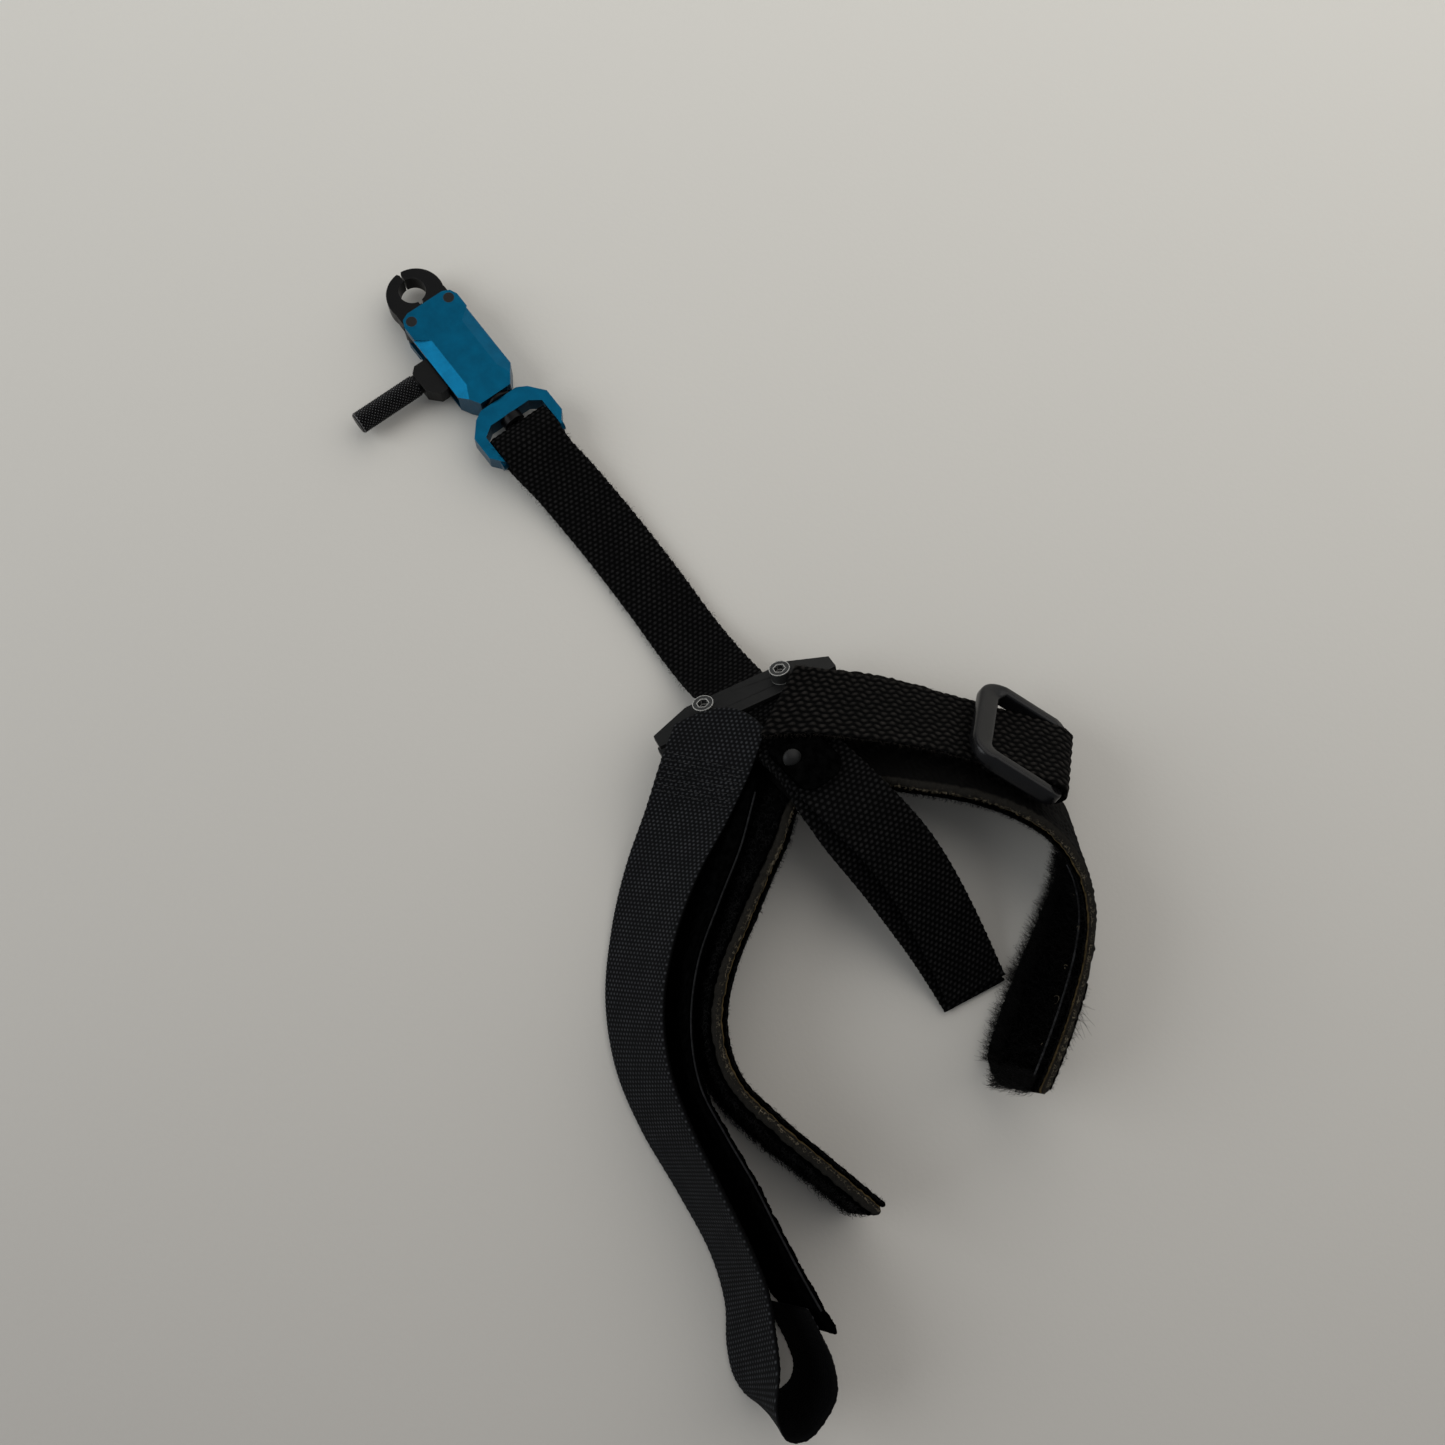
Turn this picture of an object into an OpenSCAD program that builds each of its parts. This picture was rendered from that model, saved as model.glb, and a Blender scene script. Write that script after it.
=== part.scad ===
// Archery release aid with a wrist strap.
// Origin: centre of the string hole between the jaws. +X runs forward along the head, +Y to the trigger side and
// +Z up.
// The release lies on a surface: heights called h are measured up from that surface.

/* [Head] */
// Width of the head body across both jaws
body_w = 18.4; // [17:0.2:20]
// Thickness of the head body, also the height of the string hole's centre above the surface, doubled
body_t = 12; // [12:0.5:13]
// Half width of the flat panel between the two side bevels
panel_half = 5.3; // [4.5:0.1:6]
// Diameter of the string hole between the closed jaws
hole_d = 7.94; // [7:0.02:8.4]
// Thickness of the jaws and of the trigger lever
jaw_t = 5.5; // [5:0.1:5.6]
// Diameter of the two jaw pins
pin_d = 3.2; // [3:0.1:3.2]
// Distance between the two jaw pins
pin_spacing = 13; // [12.8:0.1:13.2]
// Diameter of the knurled trigger post
post_d = 6.5; // [5:0.5:7]
// Length of the knurled trigger post outside the lever
post_len = 21; // [15:1:25]

/* [Strap loop] */
// Outer width of the strap loop
loop_w = 25.4; // [25.2:0.1:26]
// Thickness of the strap loop
loop_t = 6; // [5.4:0.2:6.4]
// Diameter of the loop's rear bar, which the connector webbing is folded round
bar_d = 4.6; // [4:0.1:4.8]

/* [Webbing] */
// Width of the connector webbing
web_w = 19; // [18:0.2:19]
// Thickness of one layer of webbing
web_t = 1.6; // [1.4:0.1:1.7]
// Width of the buckle webbing and of the tongue strap
strap_w = 25.4; // [24:0.2:25.4]

/* [Clamp] */
// Length of the clamp plate
clamp_len = 53; // [46:1:56]
// Width of the clamp plate
clamp_w = 10; // [9:0.5:11]
// Distance between the two clamp screws
screw_spacing = 22.8; // [22.8:0.1:23.6]
// Diameter of the socket heads of the clamp screws
screw_head_d = 5.74; // [5.5:0.02:6]

/* [Cuff] */
// Thickness of the leather core
leather_t = 2.4; // [2:0.1:2.6]
// Thickness of the plush lining
plush_t = 2; // [1.5:0.1:2.2]

/* [Ring] */
// Outer length of the plastic ring, along its bars
ring_len = 33; // [33:0.5:35]
// Distance between the axes of the ring's two long bars
ring_pitch = 22.5; // [20:0.5:24]
// Diameter of the bar that the buckle webbing is folded round
ring_bar_d = 3.5; // [3:0.1:3.6]

/* [Hidden] */
$fn = 48;
run_fit = 0.05;       // radial clearance of a turning fit
floor_z = -body_t/2;  // the surface that the release lies on

// Head stations along X, back from the string hole
body_front = -6.9;
bevel_front = -14;
panel_rear = -35;
body_rear = -41.5;
slot_h = jaw_t + 0.3;
slot_rear = -36;
bevel_z = 4;          // height of the bevel's lower edge
pin_x = -9.7;
pin_y = pin_spacing/2;
jaw_tip = 6.9;
jaw_split = 0.36;     // gap between the closed jaws
arm_end = -19;
arm_gap = 2.16;       // half the gap between the jaws' rear arms
jaw_spring_x = -6.9;
spring_half = 3.3;    // half the length of the jaw spring
roller_d = 4;
roller_at = [-20, 0.3];
trigger_at = [-23, -5.4];
trigger_pin_d = 2.4;
post_x = -23.9;
foot_y = 15.1;
spring_y = 2;
travel_y = -4.5;

// Swivel and strap loop
bolt_d = 4;
loop_front = -42.7;
bar_x = -58;
bar_gap = 0.3;
opening_w = 19.6;
eye_r = bar_d/2 + bar_gap + web_t;

// Places on the cuff, as [x, y, h]
clamp_at = [-157.5, 0, 15.6];
clamp_yaw = -12;
clamp_tilt = 34;
ring_at = [-222, -54.5, 21.5];   // middle of the bar held in the buckle webbing's fold
ring_yaw = 213.5;
ring_roll = -38;
ring_lift = 16;                  // angle of the ring over the webbing
double_t = 2*web_t;

// Height of the middle of the webbing in the clamp's plane
function in_clamp(x, y) = [x, y, clamp_at[2] - tan(clamp_tilt)*(cos(clamp_yaw)*(x - clamp_at[0])
    + sin(clamp_yaw)*(y - clamp_at[1]))];

// Edges of the soft bands: rows of [x, y, h] along the lower edge, and points that the upper edge leans to
connector_low = [[-63.1,-9.5,6], [-72,-10.5,4.6], [-84,-11.3,3], [-98,-11.7,2], [-116,-11.4,1.8],
    [-129,-10.8,2], [-138,-10.4,3.8], [-144.5,-10,6.6], in_clamp(-149.6, -9.8)];
connector_high = [for (i = [0 : 8]) connector_low[i] + [0, 10, i < 6 ? 0 : 0.5*(i - 5)]];
grip_low = [for (x = [-152, -157, -163]) in_clamp(x, -9.2)];
grip_high = [for (x = [-152, -157, -163]) in_clamp(x, 9.2)];
tail_root_low = [in_clamp(-163, -9.2), in_clamp(-167, -9.4), [-173,-10,23.4], [-179,-10.6,26.2],
    [-185,-11.2,28.2], [-190,-11.8,29]];
tail_root_high = [in_clamp(-163, 9.2), in_clamp(-167, 9), [-173,9,25.6], [-179,8.4,27.6], [-185,8,29],
    [-190,8,29.6]];
tail_low = [[-193.4,-12.3,29.1], [-199,-13,28.8], [-206,-13.8,26.8], [-215,-14.3,22.4], [-225,-14.4,16.6],
    [-236,-14.2,10.6], [-246,-13.6,5.4], [-254,-13,2.4]];
tail_high = [for (p = tail_low) p + [-1, 10, 0.2]];
pad_low = [[-280,57,1], [-265,61,1], [-250,65,1], [-234,67,1], [-221,63,1], [-210,54,1], [-199,43,1.4],
    [-187,31,2], [-173,19,4], [-160,8,6], [-154.6,-3,6.2], [-156.5,-15,5], [-163,-27,3], [-173,-37.5,1.6],
    [-188,-48.5,1.2], [-204,-55,1], [-221,-55.6,1], [-236,-52,1], [-246,-43,1], [-252.5,-31,1],
    [-258.5,-19,1], [-265.5,-6,1], [-271.5,3.5,1], [-277,10,1]];
pad_high = [[-280,55,31], [-265,58.5,31], [-250,62,31], [-234,64,31], [-222,59.5,31], [-212.5,50,31],
    [-206,39,31], [-200,28,30], [-194.5,17.5,28], [-189,9,25.6], [-187.5,1,24.4], [-191,-6,24.8],
    [-198,-12.6,25.4], [-206,-19.8,27.8], [-216,-28.6,29.6], [-226,-35,30], [-236,-38.6,30], [-246.5,-38,30],
    [-256,-33.6,30], [-264,-26,30], [-270.5,-17,30], [-276,-8,30], [-280,-0.5,30], [-283,6,30]];
tongue_low = [[-165.4,41,8], [-172,51.5,3.6], [-182.5,64,1], [-197,77,1], [-213,85.5,1], [-229,89.5,1],
    [-248,91.5,1], [-265,94,1], [-277,98.5,1], [-285.5,104.5,1], [-292.5,107.5,1], [-298.5,107,1],
    [-301.4,103.6,1], [-302,100,1], [-301.6,96.5,1], [-299,93.5,1], [-294,91.8,1], [-288.5,90.8,1]];
tongue_high = [[-184,27,21], [-189,37,21.5], [-198,51,22.5], [-210,65,24], [-223,73.5,25], [-237,78,26],
    [-254,82,26], [-269,85.5,25], [-279,88.5,24.5], [-287,92.5,24], [-294,97,24.2], [-301,103.5,25.5],
    [-307,105,25], [-310,101.5,25], [-309.3,95.5,25], [-306.6,89.9,24.5], [-300.5,86.3,24.2],
    [-293.5,84.8,24]];
root_low = [[-151,19,21.4], [-156.5,28,18.2], [-163.6,38.6,10]];
root_high = [[-167.5,2.5,29.2], [-174.6,12,26.6], [-182,23,23]];
loop_low = [[-160.5,18.5,8], [-167,26.5,6.4], [-175,36,4.4], [-188,50.5,2], [-202,64,1], [-216,74.5,1],
    [-231,81.5,1], [-244,84.3,1], [-256,85.5,1], [-268,86.5,1], [-282,87.4,1], [-295,87.8,1]];
loop_high = [[-179,11.5,26.6], [-183.5,17,26], [-189.5,24.5,25], [-197,38,24.4], [-205.5,52,24.6],
    [-217,63.5,25], [-230,70.5,25.4], [-243,72.8,25], [-256,74.4,25], [-268,76.8,25], [-282,79.4,24.6],
    [-296,81.4,24.2]];
tab_low = [[-172,-7,27.4], [-177,-7,29.8], [-183.4,-7.2,31.6], [-189.5,-7.4,32.6]];
tab_high = [for (p = tab_low) p + [0, 10, 0.8]];
buckle_low = [[-164,-22,20], [-175,-33,17.2], [-188,-44.5,15.6], [-200,-53.6,15.4], [-210.2,-60.8,15.9]];
buckle_high = [[-176,-3,32.6], [-189,-15.5,32.8], [-201,-28,31.6], [-212,-37,31], [-221.2,-44.1,31.6]];
rivet_at = [-179, 3, 31.9];

// Arithmetic for the bands
function unit(v) = v/norm(v);
function lift(p) = [p[0], p[1], p[2] + floor_z];
function spline_at(p, i, t) = let (a = p[max(i - 1, 0)], b = p[i], c = p[i + 1],
    d = p[min(i + 2, len(p) - 1)]) 0.5*(2*b + (c - a)*t + (2*a - 5*b + 4*c - d)*t*t
    + (3*b - a - 3*c + d)*t*t*t);
function spline(p, n) = [for (i = [0 : len(p) - 2], k = [0 : n - 1]) spline_at(p, i, k/n), p[len(p) - 1]];
function along(p, i) = unit(p[min(i + 1, len(p) - 1)] - p[max(i - 1, 0)]);

// A soft band of width w: offset moves it along its own normal, away from its middle surface
module band(low, high, w, t, offset = 0, steps = 2) {
    a = [for (p = spline(low, steps)) lift(p)];
    b = [for (p = spline(high, steps)) lift(p)];
    points = [for (i = [0 : len(a) - 1])
        let (up = unit(b[i] - a[i]), out = unit(cross(along(a, i), up)), wide = w < 0 ? norm(b[i] - a[i]) : w,
            p = a[i] + offset*out)
        each [p + out*t/2, p + up*wide + out*t/2, p + up*wide - out*t/2, p - out*t/2]];
    last = 4*(len(a) - 1);
    faces = [[3, 2, 1], [3, 1, 0], [last, last + 1, last + 2], [last, last + 2, last + 3],
        for (i = [0 : 4 : last - 4], k = [0 : 3]) let (a = i + k, b = i + (k + 1)%4)
            each k == 2 ? [[a, b, a + 4], [b, b + 4, a + 4]] : [[a, b, b + 4], [a, b + 4, a + 4]]];
    polyhedron(points, faces);
}

// A coil spring of closed round wire standing on the origin along Z
module coil(d, wire, length, turns, sides = 6, steps = 14) {
    r = (d - wire)/2;
    rings = turns*steps;
    points = [for (i = [0 : rings], k = [0 : sides - 1])
        let (a = 360*i/steps, b = 360*k/sides, rr = r + wire/2*cos(b))
        [rr*cos(a), rr*sin(a), wire/2 + (length - wire)*i/rings + wire/2*sin(b)]];
    faces = [[for (k = [0 : sides - 1]) k],
        [for (k = [sides - 1 : -1 : 0]) rings*sides + k],
        for (i = [0 : rings - 1], k = [0 : sides - 1]) let (a = i*sides + k, b = i*sides + (k + 1)%sides)
            each [[a, a + sides, b + sides], [a, b + sides, b]]];
    polyhedron(points, faces);
}

module rod_x(d, x0, x1, y = 0, z = 0) {
    translate([x0, y, z]) rotate([0, 90, 0]) cylinder(d = d, h = x1 - x0);
}

module rod_y(d, y0, y1, x = 0, z = 0) {
    translate([x, y0, z]) rotate([-90, 0, 0]) cylinder(d = d, h = y1 - y0);
}

module post_z(d, z0, z1, at) {
    translate([at[0], at[1], z0]) cylinder(d = d, h = z1 - z0);
}

// Head body -------------------------------------------------------------------

module body_plan() {
    w = body_w/2;
    polygon([[body_front, w - 3.2], [body_front - 1, w - 1], [body_front - 3.2, w], [panel_rear - 1, w],
        [body_rear, 5.2], [body_rear, -5.2], [panel_rear - 1, -w], [body_front - 3.2, -w],
        [body_front - 1, 1 - w], [body_front, 3.2 - w]]);
}

// The block that a side bevel takes away, on the +Y side of the top
module bevel_cut() {
    w = body_w/2;
    reach = 30;
    slope = atan2(body_t/2 - bevel_z, w - panel_half);
    translate([bevel_front, panel_half, body_t/2]) rotate([-slope, 0, 0]) translate([-reach - 4, 0, 0])
        linear_extrude(height = 8) polygon([[-8, -0.01], [reach, -0.01], [reach + 7, 8], [-8, 8]]);
}

// The facet that runs down from the panel to the swivel boss
module rear_cut() {
    translate([panel_rear, 0, body_t/2]) rotate([0, -14, 0]) translate([-12, -15, 0]) cube([12, 30, 8]);
}

module head_body() color([0.0, 0.43, 0.63]) {
    difference() {
        translate([0, 0, -body_t/2]) linear_extrude(height = body_t) body_plan();
        for (m = [0, 1], n = [0, 1]) mirror([0, m, 0]) mirror([0, 0, n]) bevel_cut();
        for (n = [0, 1]) mirror([0, 0, n]) rear_cut();
        // slot for the jaws and the lever: open at the front and along the trigger side
        translate([slot_rear, -body_w/2 + 1.4, -slot_h/2]) cube([40, body_w + 4, slot_h]);
        translate([-18, -body_w/2 - 2, -slot_h/2]) cube([40, body_w, slot_h]);
        for (s = [-1, 1]) post_z(pin_d, -body_t, body_t, [pin_x, s*pin_y]);
        post_z(trigger_pin_d, -body_t, 4, trigger_at);
        rod_x(bolt_d, body_rear - 1, slot_rear + 1);
        rod_x(2.6, slot_rear - 4, slot_rear + 1, spring_y + 2.6, 0);
        rod_x(2.5, body_rear - 1, slot_rear + 1, travel_y, 0);
    }
}

// Jaws ------------------------------------------------------------------------

// Plan of the left jaw, on the +Y side of the split
module jaw_plan() {
    difference() {
        union() {
            intersection() {
                translate([-1.6, 0]) circle(r = 8.5, $fn = 64);
                translate([-6, jaw_split/2]) square([14, 10]);
            }
            translate([pin_x, jaw_split/2]) square([-pin_x - 4, 8.3 - jaw_split/2]);
            translate([pin_x, pin_y]) circle(r = 2.7);
            translate([arm_end, arm_gap]) square([pin_x - arm_end + 2, pin_y + 1 - arm_gap]);
        }
        circle(d = hole_d, $fn = 64);
        polygon([[jaw_tip - 1.1, 0], [jaw_tip + 1, -1.4], [jaw_tip + 1, 1.4]]);
        translate([-hole_d/2 - 0.2, 0]) square([1.4, 1.3], center = true);
        translate([pin_x, pin_y]) circle(d = pin_d + 2*run_fit);
    }
}

module jaw() color([0.09, 0.09, 0.1]) {
    edge = 0.7;
    difference() {
        translate([0, 0, -jaw_t/2]) linear_extrude(height = jaw_t) jaw_plan();
        rod_y(4.1, -1, spring_half + 0.1, jaw_spring_x);
        // chamfers round the nose, above and below
        for (n = [0, 1]) mirror([0, 0, n]) translate([-1.6, 0, jaw_t/2 - edge])
            rotate_extrude($fn = 64) polygon([[8.5, 0], [12, 0], [12, 2], [8.5 - edge, edge],
                [8.5 - edge, edge + 0.5], [12, 2.5], [12.5, 2.5], [12.5, -0.2], [8.5, -0.2]]);
    }
}

module jaw_left() jaw();

module jaw_right() mirror([0, 1, 0]) jaw();

module jaw_pins() color([0.13, 0.13, 0.14]) {
    for (s = [-1, 1]) post_z(pin_d, -body_t/2, body_t/2, [pin_x, s*pin_y]);
}

module jaw_spring() color("silver") {
    translate([jaw_spring_x, -spring_half, 0]) rotate([-90, 0, 0]) coil(2, 0.35, 2*spring_half, 8);
}

// Trigger ---------------------------------------------------------------------

module lever_plan() {
    difference() {
        union() {
            polygon([[-25.2, -5.4], [-20.8, -5.4], [-21.4, 0.3], [-21, 3.4], [-20, 5.4], [-20, 13.4],
                [-21.6, foot_y], [-28.4, foot_y], [-31.4, 12.2], [-31.4, 9.6], [-27, 7.4], [-27, -2]]);
            translate(trigger_at) circle(r = 2.2);
            translate(roller_at) circle(r = 1.5);
            translate([-23, -0.9]) square([3, 2.4]);
        }
        translate(trigger_at) circle(d = trigger_pin_d + 2*run_fit);
        translate(roller_at) circle(d = 1.5);
    }
}

module trigger_lever() color([0.16, 0.16, 0.17]) {
    difference() {
        translate([0, 0, -jaw_t/2]) linear_extrude(height = jaw_t) lever_plan();
        post_z(roller_d + 0.6, -1.45, 1.45, roller_at);
        translate([-28, spring_y + 2.6, 0]) rotate([0, 90, 0]) cylinder(d = 3.8, h = 3.4);
        rod_y(3, foot_y - 5, foot_y + 1, post_x);
    }
}

module trigger_stud() color([0.3, 0.3, 0.31]) {
    rod_y(3, foot_y - 5, foot_y + 6, post_x);
}

module trigger_post() color([0.08, 0.08, 0.08]) {
    difference() {
        union() {
            rod_y(post_d - 0.5, foot_y, foot_y + 0.8, post_x);
            rod_y(post_d, foot_y + 0.8, foot_y + post_len - 0.5, post_x);
            translate([post_x, foot_y + post_len - 0.5, 0]) rotate([-90, 0, 0])
                rotate_extrude() polygon([[0, 0], [post_d/2, 0], [post_d/2 - 0.5, 0.5], [0, 0.5]]);
        }
        rod_y(3, foot_y - 1, foot_y + 6, post_x);
    }
}

module trigger_pin() color("dimgray") post_z(trigger_pin_d, -body_t/2, 4, trigger_at);

module sear_roller() color("silver") {
    difference() {
        post_z(roller_d, -1.3, 1.3, roller_at);
        post_z(1.5 + 2*run_fit, -2, 2, roller_at);
    }
}

module roller_pin() color("silver") post_z(1.5, -jaw_t/2, jaw_t/2, roller_at);

module trigger_spring() color("silver") {
    translate([slot_rear - 4, spring_y + 2.6, 0]) rotate([0, 90, 0]) coil(2.4, 0.4, 13, 9);
}

module travel_screw() color([0.2, 0.2, 0.2]) {
    difference() {
        rod_x(2.5, -40.5, -30, travel_y);
        translate([-41, travel_y, 0]) rotate([0, 90, 0]) cylinder(d = 1.5, h = 2.4, $fn = 6);
    }
}

// Swivel and strap loop -------------------------------------------------------

module swivel_bolt() color([0.5, 0.5, 0.52]) {
    difference() {
        union() {
            rod_x(bolt_d, loop_front - 5.4, slot_rear);
            rod_x(6.6, loop_front - 7.6, loop_front - 5.4);
        }
        translate([loop_front - 8, 0, 0]) rotate([0, 90, 0]) cylinder(d = 2.9, h = 2, $fn = 6);
    }
}

module swivel_washer() color([0.2, 0.2, 0.21]) {
    difference() {
        rod_x(8.4, loop_front + 0.1, body_rear);
        rod_x(bolt_d, loop_front - 1, body_rear + 1);
    }
}

module swivel_bush() color([0.7, 0.6, 0.4]) {
    difference() {
        rod_x(5.8, loop_front - 5.3, loop_front);
        rod_x(bolt_d + 2*run_fit, loop_front - 6, loop_front + 1);
    }
}

module strap_loop() color([0.0, 0.43, 0.63]) {
    w = loop_w/2;
    o = opening_w/2;
    back = bar_x - bar_d/2;
    difference() {
        union() {
            difference() {
                translate([0, 0, -loop_t/2]) linear_extrude(height = loop_t) polygon([[loop_front, 6.2],
                    [loop_front - 1.6, 9], [loop_front - 6, w], [bar_x + 2, w], [back, w - 3.4],
                    [back, 3.4 - w], [bar_x + 2, -w], [loop_front - 6, -w], [loop_front - 1.6, -9],
                    [loop_front, -6.2]]);
                translate([0, 0, -loop_t]) linear_extrude(height = 2*loop_t) polygon([
                    [loop_front - 5.4, 6.6], [loop_front - 7.6, o], [back - 5, o], [back - 5, -o],
                    [loop_front - 7.6, -o], [loop_front - 5.4, -6.6]]);
            }
            rod_y(bar_d, -o - 1, o + 1, bar_x);
        }
        rod_x(5.8, loop_front - 8, loop_front + 1);
    }
}

// Connector webbing -----------------------------------------------------------

// The webbing's fold round the loop's rear bar
module connector_fold() color([0.06, 0.06, 0.06]) {
    bore = bar_d/2 + bar_gap;
    translate([bar_x, web_w/2, 0]) rotate([90, 0, 0]) linear_extrude(height = web_w) difference() {
        union() {
            circle(r = eye_r);
            polygon([[0, eye_r], [0, -eye_r], [-5, -double_t/2], [-5, double_t/2]]);
        }
        circle(r = bore);
    }
}

module connector_webbing() color([0.06, 0.06, 0.06]) {
    band(connector_low, connector_high, web_w, double_t);
}

module connector_grip() color([0.06, 0.06, 0.06]) band(grip_low, grip_high, web_w - 0.8, double_t);

module tail_root() color([0.06, 0.06, 0.06]) band(tail_root_low, tail_root_high, web_w, double_t);

module connector_tail() color([0.06, 0.06, 0.06]) band(tail_low, tail_high, web_w, double_t);

// Clamp -----------------------------------------------------------------------

// Puts its children in the clamp's own frame: x across the plate, y along it, z out of it
module on_clamp() {
    translate([clamp_at[0], clamp_at[1], clamp_at[2] + floor_z]) rotate([0, 0, clamp_yaw])
        rotate([0, clamp_tilt, 0]) children();
}

// A plate with its two ends bent towards the wrist, from z0 to z1
module bent_plate(z0, z1) {
    half = clamp_len/2;
    drop = 2.6;
    intersection() {
        translate([clamp_w/2 + 1, 0, 0]) rotate([90, 0, -90]) linear_extrude(height = clamp_w + 2)
            polygon([[-half, z0 - drop], [-15.5, z0], [15.5, z0], [half, z0 - drop], [half, z1 - drop],
                [15.5, z1], [-15.5, z1], [-half, z1 - drop]]);
        translate([0, 0, -20]) linear_extrude(height = 40) polygon([[-clamp_w/2, -15], [-2, -half],
            [2.6, -half], [clamp_w/2, -15], [clamp_w/2, 15], [2.6, half], [-2, half], [-clamp_w/2, 15]]);
    }
}

module screw_holes(d) {
    for (s = [-1, 1]) translate([0, s*screw_spacing/2, -20]) cylinder(d = d, h = 40);
}

module clamp_plate() color([0.13, 0.13, 0.14]) {
    on_clamp() difference() {
        bent_plate(double_t/2, double_t/2 + 1.5);
        screw_holes(3.7);
    }
}

module clamp_base() color([0.13, 0.13, 0.14]) {
    on_clamp() difference() {
        bent_plate(-double_t/2 - 1.8, -double_t/2);
        screw_holes(3.5);
    }
}

module clamp_screws() color([0.2, 0.2, 0.21]) {
    seat = double_t/2 + 1.5;
    on_clamp() for (s = [-1, 1]) translate([0, s*screw_spacing/2, 0]) difference() {
        union() {
            translate([0, 0, -double_t/2 - 1.8]) cylinder(d = 3.5, h = seat + double_t/2 + 1.8);
            translate([0, 0, seat]) cylinder(d = screw_head_d, h = 3.5);
        }
        translate([0, 0, seat + 1.7]) cylinder(d = 3.2, h = 3, $fn = 6);
    }
}

// Cuff ------------------------------------------------------------------------

module cuff_leather() color([0.24, 0.22, 0.18]) {
    band(pad_low, pad_high, -1, leather_t, -leather_t/2);
}

module cuff_lining() color([0.05, 0.05, 0.05]) {
    band(pad_low, pad_high, -1, plush_t, plush_t/2);
}

module tongue_strap() color([0.22, 0.23, 0.25]) band(tongue_low, tongue_high, strap_w, web_t);

module tongue_root() color([0.22, 0.23, 0.25]) band(root_low, root_high, strap_w, web_t);

module loop_strap() color([0.07, 0.07, 0.07]) band(loop_low, loop_high, strap_w, 2);

module rivet_tab() color([0.1, 0.1, 0.1]) band(tab_low, tab_high, 14, 1.2);

module rivet() color([0.15, 0.15, 0.15]) {
    translate([rivet_at[0], rivet_at[1], rivet_at[2] + floor_z]) rotate([0, -28, 0]) {
        cylinder(d = 5, h = 0.6);
        translate([0, 0, 0.6]) intersection() {
            translate([0, 0, -2.2]) sphere(r = 3.3);
            cylinder(d = 5, h = 2);
        }
    }
}

// Buckle ----------------------------------------------------------------------

// Puts its children in the fold's own frame: x along the webbing, y along the held bar, z out of the webbing
module on_fold() {
    translate([ring_at[0], ring_at[1], ring_at[2] + floor_z]) rotate([ring_roll, 0, ring_yaw]) children();
}

module buckle_webbing() color([0.08, 0.08, 0.08]) band(buckle_low, buckle_high, strap_w, web_t);

module buckle_fold() color([0.08, 0.08, 0.08]) {
    bore = ring_bar_d/2 + bar_gap;
    outer = bore + web_t;
    on_fold() translate([0, strap_w/2, 0]) rotate([90, 0, 0]) linear_extrude(height = strap_w) {
        difference() {
            circle(r = outer);
            circle(r = bore);
        }
        for (s = [-1, 1]) translate([-6, s*(bore + web_t/2) - web_t/2]) square([6, web_t]);
    }
}

module buckle_ring() color([0.07, 0.07, 0.08]) {
    bar = 3.5;
    side = (ring_len - bar)/2;
    on_fold() rotate([0, ring_lift, 0]) {
        rod_y(ring_bar_d, -side, side, 0);
        difference() {
            translate([-ring_pitch - 3.9, -ring_len/2, -1.75]) cube([ring_pitch + 6.3, ring_len, bar]);
            translate([-ring_pitch + 2, -ring_len/2 + bar, -3]) cube([ring_pitch + 4, ring_len - 2*bar, 6]);
        }
    }
}

head_body();
jaw_left();
jaw_right();
jaw_pins();
jaw_spring();
trigger_lever();
trigger_post();
trigger_stud();
trigger_pin();
sear_roller();
roller_pin();
trigger_spring();
travel_screw();
swivel_bolt();
swivel_washer();
swivel_bush();
strap_loop();
connector_fold();
connector_webbing();
connector_grip();
tail_root();
connector_tail();
clamp_plate();
clamp_base();
clamp_screws();
cuff_leather();
cuff_lining();
tongue_strap();
tongue_root();
loop_strap();
rivet_tab();
rivet();
buckle_webbing();
buckle_fold();
buckle_ring();
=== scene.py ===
"""The looks of an archery release aid with a wrist strap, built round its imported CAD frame.

Lengths in the frame are metres. Rails are written in millimetres as x, y and height above the surface, as in
the CAD model, and rail() turns them into places.
"""
import math
import bpy
import numpy as np
from mathutils import Matrix, Vector


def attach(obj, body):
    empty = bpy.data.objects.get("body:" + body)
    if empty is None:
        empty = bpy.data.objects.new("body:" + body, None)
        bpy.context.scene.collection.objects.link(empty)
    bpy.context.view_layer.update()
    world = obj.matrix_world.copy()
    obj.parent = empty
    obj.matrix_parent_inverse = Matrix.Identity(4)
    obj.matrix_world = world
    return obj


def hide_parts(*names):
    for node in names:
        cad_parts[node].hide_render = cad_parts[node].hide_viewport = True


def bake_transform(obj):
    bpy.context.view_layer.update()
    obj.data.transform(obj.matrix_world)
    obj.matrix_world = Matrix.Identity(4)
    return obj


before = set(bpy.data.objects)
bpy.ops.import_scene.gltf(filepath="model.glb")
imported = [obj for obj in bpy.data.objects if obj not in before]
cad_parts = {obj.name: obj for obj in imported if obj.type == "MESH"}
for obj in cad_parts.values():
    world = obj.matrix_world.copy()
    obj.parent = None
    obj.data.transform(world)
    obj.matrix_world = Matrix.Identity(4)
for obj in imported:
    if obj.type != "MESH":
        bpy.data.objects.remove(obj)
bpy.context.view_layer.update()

MM = 0.001
FLOOR = -0.006            # the surface that the release lies on
WEB = 1.6 * MM            # one layer of webbing
LAYER = WEB / 2 + 0.03 * MM
PI = math.pi


# Camera, light and floor ------------------------------------------------------

def look(location, right, up, forward):
    """A matrix that puts a camera or a light at location, looking along forward."""
    turn = Matrix((right, up, -Vector(forward))).transposed().to_4x4()
    return Matrix.Translation(location) @ turn


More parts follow.
